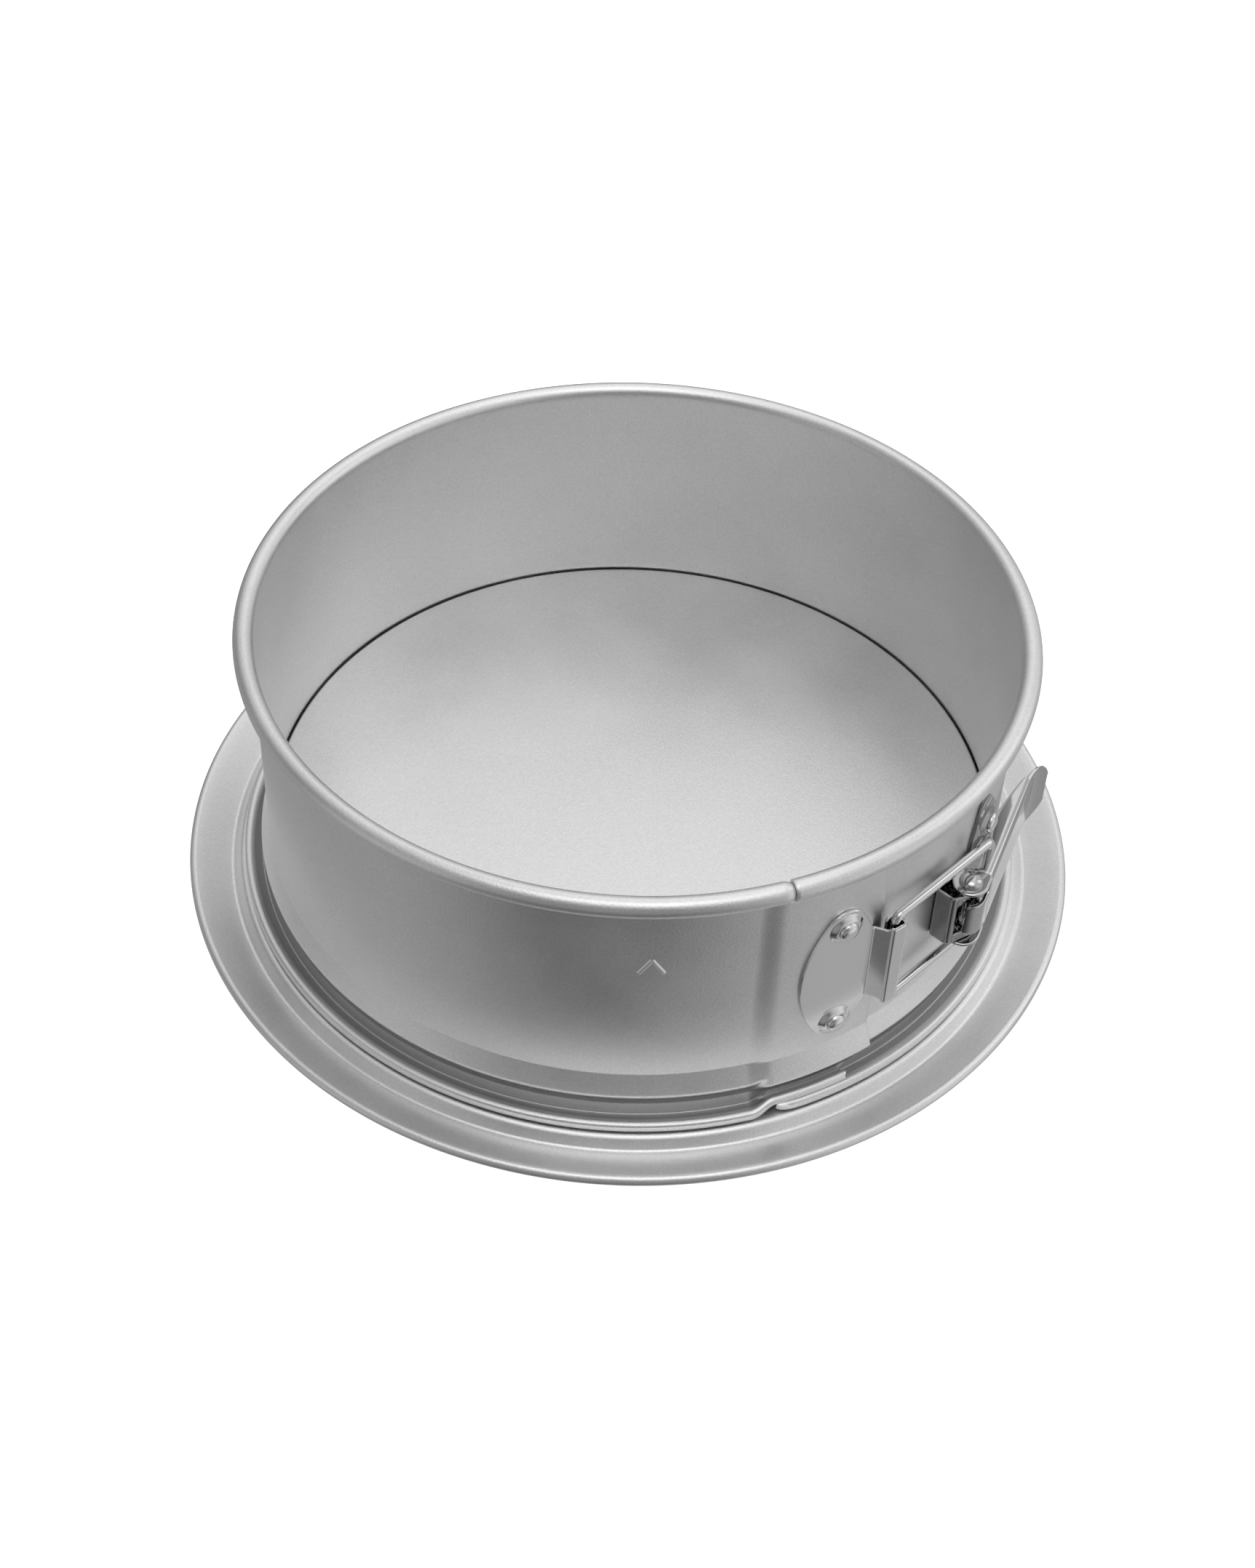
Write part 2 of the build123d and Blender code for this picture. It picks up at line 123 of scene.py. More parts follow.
class Shell:
    """Points and faces gathered from several closed shells into one piece."""

    def __init__(self):
        self.points, self.faces = [], []

    def add(self, points, faces):
        first = len(self.points)
        self.points += [tuple(p) for p in points]
        self.faces += [tuple(i + first for i in f) for f in faces]

    def sheet(self, grid, thickness, ring=False, pole=False, edge=0.6, flip=False,
              flat_ends=(False, False)):
        """A sheet of even thickness round a middle surface, with rounded edges.

        The grid is rows by columns of points. With ring, the columns close on themselves. With
        pole, the first row is closed over by a fan instead of being an edge. The flat ends are
        those of the first and the last column that are cut square.
        """
        grid = np.asarray(grid, float)
        rows, columns = grid.shape[:2]
        along_rows = np.gradient(grid, axis=0)
        if ring:
            along_columns = np.roll(grid, -1, 1) - np.roll(grid, 1, 1)
        else:
            along_columns = np.gradient(grid, axis=1)
        normal = np.cross(along_rows, along_columns)
        normal /= np.maximum(np.linalg.norm(normal, axis=2, keepdims=True), 1e-12)
        if flip:
            normal = -normal
        half = thickness / 2
        front, back = grid + normal * half, grid - normal * half
        points = list(front.reshape(-1, 3)) + list(back.reshape(-1, 3))
        size = rows * columns
        faces = []

        def quad(a, b, c, d):
            faces.append((d, c, b, a) if flip else (a, b, c, d))

        last = columns if ring else columns - 1
        for i in range(rows - 1):
            for j in range(last):
                k = (j + 1) % columns
                a, b = i * columns + j, (i + 1) * columns + j
                c, d = (i + 1) * columns + k, i * columns + k
                quad(a, b, c, d)
                quad(size + d, size + c, size + b, size + a)

        def unit(v):
            return v / max(np.linalg.norm(v), 1e-12)

        def hem(loop, outward):
            """Rounds the edge along a closed loop of grid places."""
            bands = []
            for turn in (45, 90, 135):
                base = len(points)
                for (i, j), e in zip(loop, outward):
                    n = normal[i, j]
                    points.append(
                        grid[i, j]
                        + n * half * cos(radians(turn))
                        + e * half * edge * sin(radians(turn))
                    )
                bands.append(base)
            front_ids = [i * columns + j for i, j in loop]
            back_ids = [size + i * columns + j for i, j in loop]
            count = len(loop)
            lines = [front_ids] + [[b + k for k in range(count)] for b in bands] + [back_ids]
            for one, two in zip(lines, lines[1:]):
                for k in range(count):
                    m = (k + 1) % count
                    quad(one[m], one[k], two[k], two[m])

        if ring:
            if pole:
                for side in (0, 1):
                    centre = len(points)
                    points.append((front if side == 0 else back)[0].mean(0))
                    for j in range(columns):
                        k = (j + 1) % columns
                        tri = (centre, side * size + j, side * size + k)
                        if (side == 1) != flip:
                            tri = tri[::-1]
                        faces.append(tri)
            else:
                loop = [(0, j) for j in range(columns)][::-1]
                hem(loop, [unit(-along_rows[i, j]) for i, j in loop])
            loop = [(rows - 1, j) for j in range(columns)]
            hem(loop, [unit(along_rows[i, j]) for i, j in loop])
        else:
            loop = (
                [(0, j) for j in range(columns - 1, 0, -1)]
                + [(i, 0) for i in range(rows - 1)]
                + [(rows - 1, j) for j in range(columns - 1)]
                + [(i, columns - 1) for i in range(rows - 1, 0, -1)]
            )
            outward = []
            for i, j in loop:
                e = np.zeros(3)
                if i == 0:
                    e -= unit(along_rows[i, j])
                if i == rows - 1:
                    e += unit(along_rows[i, j])
                if j == 0 and not flat_ends[0]:
                    e -= unit(along_columns[i, j])
                if j == columns - 1 and not flat_ends[1]:
                    e += unit(along_columns[i, j])
                outward.append(unit(e))
            hem(loop, outward)
        self.add(points, faces)

    def lathe(self, profile, origin, direction, count=48):
        """A solid turned round a line. The profile of (radius, height) starts and ends on it."""
        direction = Vector(direction).normalized()
        across = direction.orthogonal().normalized()
        other = direction.cross(across)
        points, faces = [], []
        inner = profile[1:-1]
        for radius, height in inner:
            for k in range(count):
                a = 2 * pi * k / count
                ray = across * cos(a) + other * sin(a)
                points.append(Vector(origin) + direction * height + ray * radius)
        for i in range(len(inner) - 1):
            for k in range(count):
                m = (k + 1) % count
                a, b = i * count + k, i * count + m
                faces.append((a, b, b + count, a + count))
        for row, height, turn in ((0, profile[0][1], 1), (len(inner) - 1, profile[-1][1], 0)):
            centre = len(points)
            points.append(Vector(origin) + direction * height)
            for k in range(count):
                m = (k + 1) % count
                tri = (centre, row * count + k, row * count + m)
                faces.append(tri[::-1] if turn else tri)
        self.add(points, faces)

    def tube(self, path, radius, count=24, tip=0.35):
        """A round wire along a path, with softly rounded ends."""
        path = [Vector(p) for p in path]
        first = (path[0] - path[1]).normalized()
        final = (path[-1] - path[-2]).normalized()
        stations = [
            (path[0] + first * tip, radius - tip),
            (path[0] + first * tip * 0.7, radius - tip * 0.3),
        ]
        stations += [(p, radius) for p in path]
        stations += [
            (path[-1] + final * tip * 0.7, radius - tip * 0.3),
            (path[-1] + final * tip, radius - tip),
        ]
        points, faces = [], []
        across = first.orthogonal().normalized()
        for n, (p, r) in enumerate(stations):
            before = stations[max(n - 1, 0)][0]
            after = stations[min(n + 1, len(stations) - 1)][0]
            heading = (after - before).normalized()
            across = (across - heading * across.dot(heading)).normalized()
            other = heading.cross(across)
            for k in range(count):
                a = 2 * pi * k / count
                points.append(p + (across * cos(a) + other * sin(a)) * r)
        for n in range(len(stations) - 1):
            for k in range(count):
                m = (k + 1) % count
                a, b = n * count + k, n * count + m
                faces.append((a, b, b + count, a + count))
        faces.append(tuple(range(count))[::-1])
        faces.append(tuple((len(stations) - 1) * count + k for k in range(count)))
        self.add(points, faces)

    def done(self, name, sharp=38.0):
        return new_object(name, self.points, self.faces, sharp)


# ---------------------------------------------------------------- materials
def shader(name):
    """A new node material, its shader node and a function that adds nodes."""
    made = bpy.data.materials.new(name)
    made.use_nodes = True
    tree = made.node_tree

    def node(kind, **values):
        made_node = tree.nodes.new(kind)
        for key, value in values.items():
            setattr(made_node, key, value)
        return made_node

    return made, tree, tree.nodes["Principled BSDF"], node


def noise_of(tree, node, scale, detail=2.0, stretch=(1, 1, 1)):
    """Noise over object space, with a stretch along each axis."""
    place = node("ShaderNodeTexCoord")
    mapping = node("ShaderNodeMapping")
    mapping.inputs["Scale"].default_value = stretch
    tree.links.new(place.outputs["Object"], mapping.inputs["Vector"])
    n = node("ShaderNodeTexNoise")
    n.inputs["Scale"].default_value = scale
    n.inputs["Detail"].default_value = detail
    tree.links.new(mapping.outputs["Vector"], n.inputs["Vector"])
    return n.outputs["Fac"]


def ranged(tree, node, value, low, high, to_low, to_high):
    """A value mapped from one range to another, and held at its ends."""
    n = node("ShaderNodeMapRange")
    for key, number in zip(
        ("From Min", "From Max", "To Min", "To Max"), (low, high, to_low, to_high)
    ):
        n.inputs[key].default_value = number
    tree.links.new(value, n.inputs["Value"])
    return n.outputs["Result"]


TINT = (1.0, 1.0, 1.005)
# share of the band's colour taken away as painted shade in the groove round its foot, where shade falls
RECESS_PAINTED_SHADE = 0.42


def metal(name, tone, rough, grain, grain_depth, rough_spread=0.05, tone_spread=0.04,
          scuffs=0.0, painted_shade_zone=None):
    """A bare metal with fine grain and clouds of slightly different sheen. The grain's size and
    depth are in millimetres. The painted shade zone is a height and a radius, in metres, below and
    inside which the colour is darkened as painted shade, standing in for the shade in the groove."""
    made, tree, bsdf, node = shader(name)
    bsdf.inputs["Metallic"].default_value = 1.0
    clouds = noise_of(tree, node, 22.0, 3.0)
    fine = noise_of(tree, node, 1000.0 / grain, 2.0)
    ramp = node("ShaderNodeValToRGB")
    low, high = tone - tone_spread, tone + tone_spread
    ramp.color_ramp.elements[0].position = 0.3
    ramp.color_ramp.elements[1].position = 0.7
    ramp.color_ramp.elements[0].color = (*(low * c for c in TINT), 1)
    ramp.color_ramp.elements[1].color = (*(high * c for c in TINT), 1)
    mixed = node("ShaderNodeMath", operation="MULTIPLY_ADD")
    mixed.inputs[1].default_value = 0.55
    tree.links.new(fine, mixed.inputs[0])
    scaled = node("ShaderNodeMath", operation="MULTIPLY")
    scaled.inputs[1].default_value = 0.45
    tree.links.new(clouds, scaled.inputs[0])
    tree.links.new(scaled.outputs[0], mixed.inputs[2])
    tree.links.new(mixed.outputs[0], ramp.inputs["Fac"])
    colour = ramp.outputs["Color"]
    # painted shade: the colour is darkened low on the piece and inside the given radius, in the groove
    # round the band's foot, where shade falls
    if painted_shade_zone:
        place = node("ShaderNodeTexCoord")
        split = node("ShaderNodeSeparateXYZ")
        tree.links.new(place.outputs["Object"], split.inputs[0])
        flat = node("ShaderNodeVectorMath", operation="MULTIPLY")
        flat.inputs[1].default_value = (1, 1, 0)
        tree.links.new(place.outputs["Object"], flat.inputs[0])
        far = node("ShaderNodeVectorMath", operation="LENGTH")
        tree.links.new(flat.outputs["Vector"], far.inputs[0])
        low_part = ranged(tree, node, split.outputs["Z"], painted_shade_zone[0] - 0.0006, painted_shade_zone[0], RECESS_PAINTED_SHADE, 0)
        share = node("ShaderNodeMath", operation="MULTIPLY")
        tree.links.new(low_part, share.inputs[0])
        inside = ranged(tree, node, far.outputs["Value"], painted_shade_zone[1] - 0.0008, painted_shade_zone[1], 1.0, 0.0)
        tree.links.new(inside, share.inputs[1])
        unshaded_share = node("ShaderNodeMath", operation="SUBTRACT")
        unshaded_share.inputs[0].default_value = 1.0
        tree.links.new(share.outputs[0], unshaded_share.inputs[1])
        painted_shade_colour = node("ShaderNodeVectorMath", operation="SCALE")
        tree.links.new(colour, painted_shade_colour.inputs[0])
        tree.links.new(unshaded_share.outputs[0], painted_shade_colour.inputs["Scale"])
        colour = painted_shade_colour.outputs["Vector"]
    tree.links.new(colour, bsdf.inputs["Base Color"])
    roughness = ranged(tree, node, clouds, 0.3, 0.7, rough - rough_spread, rough + rough_spread)
    if scuffs:
        marks = noise_of(tree, node, 90.0, 4.0, (1, 1, 6))
        wear = ranged(tree, node, marks, 0.58, 0.72, 0.0, scuffs)
        total = node("ShaderNodeMath", operation="ADD")
        tree.links.new(roughness, total.inputs[0])
        tree.links.new(wear, total.inputs[1])
        roughness = total.outputs[0]
    tree.links.new(roughness, bsdf.inputs["Roughness"])
    bump = node("ShaderNodeBump")
    bump.inputs["Strength"].default_value = 1.0
    bump.inputs["Distance"].default_value = grain_depth * MM
    tree.links.new(fine, bump.inputs["Height"])
    tree.links.new(bump.outputs["Normal"], bsdf.inputs["Normal"])
    return made


blasted_base = metal("blasted_aluminium_base", 0.84, 0.40, 0.6, 0.05, tone_spread=0.09)
# the band's metal, with painted shade darkening the groove round its foot
band_metal_painted_shade = metal("blasted_aluminium_band_painted_shade", 0.82, 0.40, 0.6, 0.05, tone_spread=0.09,
                     painted_shade_zone=(0.0129, 0.1214))
satin_steel = metal("satin_steel", 0.80, 0.15, 0.45, 0.006, scuffs=0.08)
bright_steel = metal("bright_steel", 0.56, 0.07, 0.8, 0.002, 0.02, scuffs=0.06)
polished_steel = metal("polished_steel", 0.40, 0.06, 0.8, 0.002, 0.02, scuffs=0.06)
wire_steel = metal("bright_wire", 0.74, 0.05, 0.9, 0.002, 0.02, scuffs=0.05)
rivet_steel = metal("rivet_steel", 0.80, 0.10, 0.5, 0.003, 0.03, scuffs=0.08)


def finish(piece, material, body, slot, *nodes):
    """Gives a piece its material and its place in the frame."""
    piece.data.materials.append(material)
    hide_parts(*nodes)
    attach(piece, body)


# ---------------------------------------------------------------- base plate
RAISED_Z = 19.7
base_line = rounded(
    [(0.6, RAISED_Z), (113.4, RAISED_Z), (114.75, 16.4), (113.3, 14.0), (113.3, 4.0), (124.8, 3.9),
     (127.6, 0.0), (139.37, 5.12)],
    [0.6, 0.9, 0.9, 1.6, 1.8, 1.9],
    2.5,
)
brim_curl = arc((139.8, 4.0), 1.2, 111, -255, 20)
base_line = np.vstack([base_line[:-1], brim_curl])
raised_line = [(r, RAISED_Z) for r in (0.6, 6, 14, 24, 36, 48, 60, 72, 84, 94, 102, 108, 111)]
base_line = np.vstack([raised_line, base_line[base_line[:, 0] > 112.2]])
around = np.linspace(0, 360, 289)[:-1]
shell = Shell()
shell.sheet([[polar(r, a, z) for a in around] for r, z in base_line], SHEET, ring=True, pole=True)
finish(shell.done("base_plate_skin"), blasted_base, "base", "base_aluminium", "base_plate")

# ---------------------------------------------------------------- band
# Middle line of the sheet, as (distance outside the inner radius, height), from its lower edge up:
# bead, groove, neck, shoulder, wall. The tab laps over the band's other end, so it lies outside it.
FOOT = [
    (9.2, 5.5), (9.1, 7.3), (7.9, 7.3), (3.4, 5.2), (2.2, 9.6),
    (2.5, 11.8), (3.4, 13.6), (0.5, 20.6), (0.5, 26.0),
]
FOOT_RADII = [0.6, 0.55, 1.0, 1.0, 0.6, 0.8, 1.6]
TAB_FOOT = [
    (8.0, 8.2), (7.3, 9.1), (6.5, 9.2), (4.3, 7.8), (3.6, 10.0),
    (3.7, 11.6), (4.8, 13.0), (1.8, 20.8), (1.8, 26.0),
]
TAB_FOOT_RADII = [0.5, 0.6, 0.6, 0.7, 0.4, 0.35, 0.7]
FOOT_POINTS = 72
RIM_CENTRE = (INNER_RADIUS + 3.1, 93.4)
RIM_TUBE = 2.6


def interpolated(marks, lengths, line):
    """Points of a line at given distances along it."""
    columns = [np.interp(marks, lengths, line[:, 0]), np.interp(marks, lengths, line[:, 1])]
    return np.stack(columns, -1)


def lengths_along(line):
    """Distance along a line to each of its points."""
    return np.concatenate([[0], np.cumsum(np.linalg.norm(np.diff(line, axis=0), axis=1))])


def foot_section(points, radii):
    """A foot's middle line, evenly sampled, so that two such lines can be blended."""
    line = rounded([(INNER_RADIUS + r, z) for r, z in points], radii, 0.5)
    lengths = lengths_along(line)
    return interpolated(np.linspace(0, lengths[-1], FOOT_POINTS), lengths, line)


foot_line = foot_section(FOOT, FOOT_RADII)
tab_foot_line = foot_section(TAB_FOOT, TAB_FOOT_RADII)
wall_heights = np.concatenate([np.linspace(29, 86, 16), [87.0, 88.0, 88.8, 89.6, 90.4, 91.2, 92.2]])
wall_line = np.array([(INNER_RADIUS + 0.5, z) for z in wall_heights])
rim_line = arc(RIM_CENTRE, RIM_TUBE, 180, -305, 30)
band_line = np.vstack([foot_line, wall_line, rim_line])
RIM_FROM = len(foot_line) + len(wall_line)


def band_grid(azimuths, place=None):
    """Rows along the section and columns along the band. The place function may shift a point."""
    grid = []
    for n, (r, z) in enumerate(band_line):
        row = []
        for a in azimuths:
            row.append(polar(*(place(n, r, z, a) if place else (r, a, z))))
        grid.append(row)
    return grid


def spans(start, end, degrees_each):
    """Evenly spaced azimuths from start to end."""
    return np.linspace(start, end, max(2, int(abs(end - start) / degrees_each)) + 1)


def split_end(azimuth, way):
    """Fine steps up to a split of the band, so that both sides of it shade alike."""
    return azimuth - way * np.array([1.0, 0.6, 0.3, 0.12, 0.0])


def right_place(n, r, z, a):
    """The right end of the band, whose bead starts with a rounded tip."""
    if z < 9.0 and a < SEAM_AZ + 3:
        back = 0.9 * (1 - sqrt(max(0.0, 1 - (1 - (a - SEAM_AZ) / 3.2) ** 2))) * step((9.0 - z) / 3)
        return r - 2.0 * back, a, z + 0.5 * back
    return r, a, z


def left_place(n, r, z, a):
    """The left end of the band steps outwards to lap over the right end, below the rim."""
    share = step((a - SEAM_AZ + 3.7) / 3.55)
    if n < FOOT_POINTS:
        lapped = tab_foot_line[n]
        return r + (lapped[0] - r) * share, a, z + (lapped[1] - z) * share
    if n >= RIM_FROM:
        pinch = 0.9 * max(0.0, (a - SEAM_AZ + 1.6) / 1.5) ** 2
        pinch *= 0.4
        return r + (RIM_CENTRE[0] - r) * pinch, a, z + (RIM_CENTRE[1] - z) * pinch
    return r + LAP * share * (1 - step((z - 88.4) / 2.8)), a, z


SPLIT_AZ = 100.0
shell = Shell()
front_right = np.concatenate([
    spans(SEAM_AZ + 0.1, -22, 0.4), spans(-22, SPLIT_AZ - 1.5, 1.25)[1:], split_end(SPLIT_AZ, 1)
])
shell.sheet(band_grid(front_right, right_place), SHEET, flat_ends=(False, True))
finish(
    shell.done("band_front_right"), band_metal_painted_shade, "band_right", "band_aluminium", "side_band_right"
)

shell = Shell()
front_left = np.concatenate([
    split_end(-SPLIT_AZ, -1)[::-1],
    spans(1.5 - SPLIT_AZ, -30, 1.25),
    spans(-30, SEAM_AZ - 0.1, 0.25)[1:],
])
shell.sheet(band_grid(front_left, left_place), SHEET, flat_ends=(True, True))
tab_line = np.vstack([tab_foot_line, wall_line[wall_heights < 88.5] + (LAP, 0)])
tab_rows = []
# the tab's end is cut back at its foot and rounded at its top
for r, z in tab_line:
    end = TAB_END_AZ - 5.2 * step((12.5 - z) / 4) - 1.6 * step((z - 83.5) / 5)
    tab_rows.append([polar(r, a, z) for a in np.linspace(SEAM_AZ - 0.1, end, 34)])
shell.sheet(tab_rows, SHEET, flat_ends=(True, False))
MARK_AZ, MARK_Z = -44.15, 70.0
MARK_RADIUS, MARK_CROWN = 115.15, 0.42
WALL_OUTSIDE = 115.3


def raised_bar(shell, start, end, width=1.3):
    """A low rounded bar on the outside of the wall, between two places given as along and up."""
    start, end = np.array(start, float), np.array(end, float)
    across = np.array((start[1] - end[1], end[0] - start[0]))
    across *= width / 2 / np.linalg.norm(across)
    rows = []
    for t in np.linspace(-1, 1, 9):
        row = []
        for k in np.linspace(0, 1, 12):
            u, v = start + (end - start) * k + across * t
            crown = MARK_RADIUS + MARK_CROWN * (1 - t * t)
            row.append(polar(crown, MARK_AZ + degrees(u / WALL_OUTSIDE), MARK_Z + v))
        rows.append(row)
    shell.sheet(rows, 0.3, flip=True)


# an upward pointer shows which way up the band goes
for mark in (((-3.5, -5.3), (0, 0)), ((0, 0), (3.5, -5.3))):
    raised_bar(shell, *mark)
finish(
    shell.done("band_front_left"), band_metal_painted_shade, "band_left", "band_aluminium", "side_band_left"
)

shell = Shell()
round_back = np.concatenate([
    split_end(SPLIT_AZ, -1)[::-1],
    spans(SPLIT_AZ + 1.5, 358.5 - SPLIT_AZ, 1.25),
    split_end(360 - SPLIT_AZ, 1),
])
shell.sheet(band_grid(round_back), SHEET, flat_ends=(True, True))
band_back = shell.done("band_back")
band_back.data.materials.append(band_metal_painted_shade)
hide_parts("side_band_right", "side_band_left")
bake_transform(band_back)

# ---------------------------------------------------------------- half-moon plates
LINK_PLATE = dict(
    azimuth=-11.9, way=-1, radius=116.65, width=22.0, cap=(9.7, 19.4), cap_radius=6.5, rivet=19.4
)
LEVER_PLATE = dict(
    azimuth=10.4, way=1, radius=115.35, width=20.5, cap=(6.2, 25.0), cap_radius=3.6, rivet=16.0
)
EDGE_HALF = 14.5
RIVET_INSET = 9.7
SEAT_HEIGHT, SEAT_FLAT, SEAT_SLOPE = 1.2, 3.3, 2.1
PLATE_MIDDLE, PLATE_SHRINK = (9.5, 0), 0.012


def tangent_turn(gap, radius):
    """Heading of a gap, and the turn from it to where a line touches a circle at its end."""
    away = np.linalg.norm(gap)
    return degrees(atan2(gap[1], gap[0])), degrees(atan2(radius, sqrt(away**2 - radius**2))) + 90


def half_moon(width, cap, cap_radius):
    """Outline of a half-moon plate, evenly spaced, anticlockwise from its lower straight corner."""
    cap = np.array(cap)
    reach = width - cap_radius
    belly_x = (cap[0] ** 2 + cap[1] ** 2 - reach**2) / (2 * (cap[0] - reach))
    heading, quarter = tangent_turn(cap - np.array((0, EDGE_HALF)), cap_radius)
    turn = heading + quarter
    belly_turn = degrees(atan2(cap[1], cap[0] - belly_x))
    upper_cap = arc(cap, cap_radius, turn, belly_turn - turn, 40)
    belly = arc((belly_x, 0), width - belly_x, belly_turn, -2 * belly_turn, 80)
    corner = rounded([(0, 2), (0, EDGE_HALF), upper_cap[0]], [0.8], 0.5)
    upper = np.vstack([corner, upper_cap[1:]])
    lower = upper[::-1] * (1, -1)
    ring = np.vstack([upper, belly[1:-1], lower])
    closed = np.vstack([ring, ring[:1]])
    lengths = lengths_along(closed)
    return interpolated(np.linspace(0, lengths[-1], 321)[:-1], lengths, closed)


def plate(shell, azimuth, way, radius, width, cap, cap_radius, rivet, hole=None):
    """A half-moon plate curved round the band, with a raised seat under each rivet."""
    outline = half_moon(width, cap, cap_radius)
    outline = outline + (np.array(PLATE_MIDDLE) - outline) * PLATE_SHRINK
    centre = np.array(hole) if hole else np.array((10.0, 0.0))
    inner = 1.0 if hole else 0.25
    rows = []
    shares = np.linspace(0, 1, 84 if hole else 60)
    for t in shares:
        row = []
        for p in outline:
            ray = p - centre
            start = centre + ray / np.linalg.norm(ray) * inner
            u, v = start + (p - start) * t
            lift = 0.0
            for side in (-1, 1):
                far = hypot(u - RIVET_INSET, v - side * rivet)
                lift += SEAT_HEIGHT * (1 - step((far - SEAT_FLAT) / SEAT_SLOPE))
            turned_by = way * degrees(u / INNER_RADIUS)
            row.append(polar(radius + 0.5 + lift, azimuth + turned_by, LATCH_Z + v))
        rows.append(row)
    shell.sheet(rows, SHEET, ring=True, pole=not hole, flip=way > 0, edge=0.5)


def strip(shell, line, low, high, thickness=SHEET, flip=False, columns=12):
    """A sheet that stands upright along a plan line, between two heights that may vary along it."""
    rows = []
    for n, (x, y) in enumerate(line):
        bottom = low[n] if hasattr(low, "__len__") else low
        top = high[n] if hasattr(high, "__len__") else high
        shares = step(np.linspace(0, 1, columns))
        rows.append([(x, y, LATCH_Z + bottom + (top - bottom) * t) for t in shares])
    shell.sheet(rows, thickness, flip=flip)


def touch_angle(start, centre, radius, side):
    """Angle on a circle where a line from start touches it. Side is 1 for the left of the line."""
    heading, quarter = tangent_turn(centre - start, radius)
    return heading + side * quarter


CURL = 2.3
CURL_SWEEP = 292
shell = Shell()
plate(shell, **LINK_PLATE)
link_azimuth = atan2(LINK_PIVOT[0], -LINK_PIVOT[1])
along = np.array((cos(link_azimuth), sin(link_azimuth)))
out = np.array((sin(link_azimuth), -cos(link_azimuth)))
# the flange and its fold, as (along the wall, outwards) from the wire's middle
fold = [
    (-5.9, -2.78), (-5.3, -2.7), (-2.5, 1.5),
    (-2.2, CURL), (CURL, CURL), (CURL, -CURL), (-1.2, -CURL),
]
line = rounded([LINK_PIVOT + along * t + out * n for t, n in fold], [0.3, 0.5, 0.3, 0.9, 0.9], 0.35)
travel = np.linspace(0, 1, len(line))
# half heights: the flange is lower than the fold, and the fold's inner corners are rounded
heights = 13.9 + 1.3 * step((travel - 0.2) / 0.1)
past_corner = np.maximum(0, travel - 0.96) / 0.04
heights -= 0.9 * (1 - np.sqrt(np.clip(1 - past_corner**2, 0, 1)))
strip(shell, line, -heights, heights, flip=True, columns=16)
finish(
    shell.done("link_bracket_pressing"), satin_steel, "band_left", "bracket_steel", "link_bracket"
)

# the neck is one sheet up to the window round the pin, then two arms that curl round the pin
NECK_HALF = 9.3
WINDOW_HALF = 6.25
WINDOW_REACH = 6.1
shell = Shell()
plate(shell, hole=(6.1, 24.0), **LEVER_PLATE)
wall_part = [polar(LEVER_PLATE["radius"] + 0.5, a, 0)[:2] for a in np.linspace(10.7, 3.0, 12)]
neck_turn = np.array((4.2, -121.9))
touch = touch_angle(neck_turn, LEVER_PIVOT, CURL, -1)
touch_point = LEVER_PIVOT + CURL * np.array((cos(radians(touch)), sin(radians(touch))))
corner = np.array((4.2, wall_part[-1][1] - 0.08))
neck = rounded([*wall_part, corner, neck_turn, touch_point], [0.4] * 10 + [0.4, 0.9, 1.0], 0.5)
neck = neck[np.hypot(*(neck - LEVER_PIVOT).T) > WINDOW_REACH]
strip(shell, neck, -NECK_HALF, NECK_HALF, columns=10)
knuckle = np.vstack([
    np.linspace(neck[-1] + (neck[-1] - neck[-2]) * 0.2, touch_point, 8),
    arc(LEVER_PIVOT, CURL, touch, CURL_SWEEP, 50)[1:],
])
for low, high in ((-NECK_HALF, -WINDOW_HALF), (WINDOW_HALF, NECK_HALF)):
    strip(shell, knuckle, low, high, columns=7)
finish(
    shell.done("lever_bracket_pressing"), polished_steel, "band_right", "bracket_steel",
    "lever_bracket",
)

# ---------------------------------------------------------------- rivets and pin
def dome(radius, height, count=9, lip=0.22):
    """Profile of a domed head, from its rim to its top."""
    points = [(radius - 0.08, 0.0), (radius, 0.1), (radius, lip)]
    for k in range(1, count + 1):
        a = radians(90 * k / count)
        points.append((radius * cos(a) ** 0.9 if k < count else 0.0, lip + (height - lip) * sin(a)))
    return points


for name, spec, body in (("link", LINK_PLATE, "band_left"), ("lever", LEVER_PLATE, "band_right")):
    azimuth = spec["azimuth"] + spec["way"] * degrees(RIVET_INSET / INNER_RADIUS)
    seat = spec["radius"] + 2.2
    inside = INNER_RADIUS if name == "lever" else INNER_RADIUS + 1.35
    for end, side in (("bottom", -1), ("top", 1)):
        shell = Shell()
        tail = inside - seat
        profile = [(0, tail), (1.2, tail), (1.48, tail + 0.12), (1.48, -0.02)] + dome(3.1, 1.65)
        if name == "lever":
            flat_tail = [(0, tail - 0.18), (1.7, tail - 0.16), (2.1, tail), (1.48, tail + 0.02)]
            profile = flat_tail + [(1.48, -0.02)] + dome(3.1, 1.65)
        origin = polar(seat, azimuth, LATCH_Z + side * spec["rivet"])
        shell.lathe(profile, origin, polar(1, azimuth, 0), 40)
        finish(
            shell.done(f"{name}_rivet_{end}_head"), rivet_steel, body, "rivet_steel",
            f"{name}_bracket_rivet_{end}",
        )

PIN_HALF = 11.0
head = dome(3.45, 2.25, 10, 0.4)
profile = [(r, PIN_HALF + h) for r, h in head]
profile = [(r, -h) for r, h in profile[::-1]] + [(1.58, -PIN_HALF), (1.58, PIN_HALF)] + profile
shell = Shell()
shell.lathe(profile, (*LEVER_PIVOT, LATCH_Z), (0, 0, 1), 48)
finish(shell.done("pivot_pin_turned"), bright_steel, "lever", "latch_steel", "pivot_pin")

